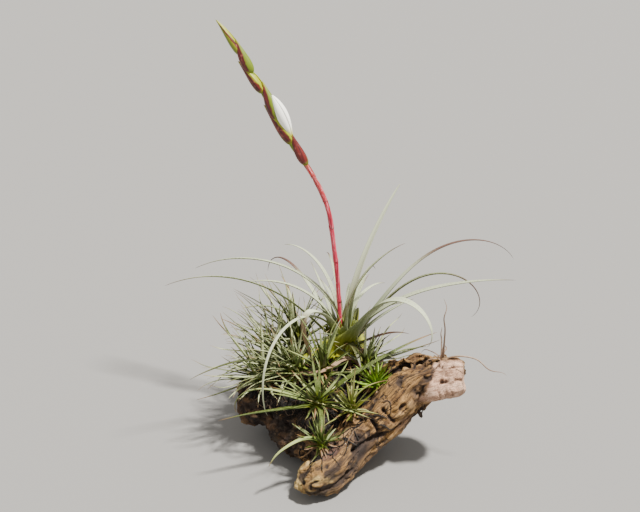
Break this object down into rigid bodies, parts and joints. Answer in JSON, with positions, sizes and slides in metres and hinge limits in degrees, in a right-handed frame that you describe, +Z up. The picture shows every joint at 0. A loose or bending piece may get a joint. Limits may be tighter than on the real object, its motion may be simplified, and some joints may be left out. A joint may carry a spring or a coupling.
{
  "type": "tillandsia clump on driftwood",
  "caption": "Clump of narrow-leaved air plants rooted on weathered driftwood, with one large rosette bearing a tall leaning spike of bracts and a white flower.",
  "frame": {"origin": "middle of the flat face that the driftwood rests on", "axes": "+Z up along the plants' height, +X to the viewer's right, -Y toward the viewer"},
  "size_m": [0.2398, 0.1819, 0.2892],
  "materials": {
    "wood": "matte",
    "roots": "matte",
    "leaf_silver_broad": "matte",
    "leaf_silver_fine": "matte",
    "leaf_green": "matte",
    "leaf_olive": "matte",
    "leaf_bright": "matte",
    "leaf_dry": "matte",
    "scape": "satin",
    "bract": "satin",
    "petal": "matte"
  },
  "bodies": {
    "root": {"mother_rosette": "leaf_silver_broad", "rosette_back_left": "leaf_silver_fine", "rosette_left": "leaf_silver_fine", "rosette_mid_left": "leaf_silver_fine", "rosette_far_left": "leaf_silver_fine", "rosette_centre": "leaf_green", "rosette_right": "leaf_silver_fine", "rosette_front": "leaf_green", "rosette_arm": "leaf_olive", "rosette_tip": "leaf_green", "seedling_tuft": "leaf_bright", "dry_tuft": "leaf_dry", "driftwood": "wood", "root_mat": "roots", "flower_scape": "scape", "flower_bracts": "bract", "corolla": "petal"}
  },
  "joints": []
}
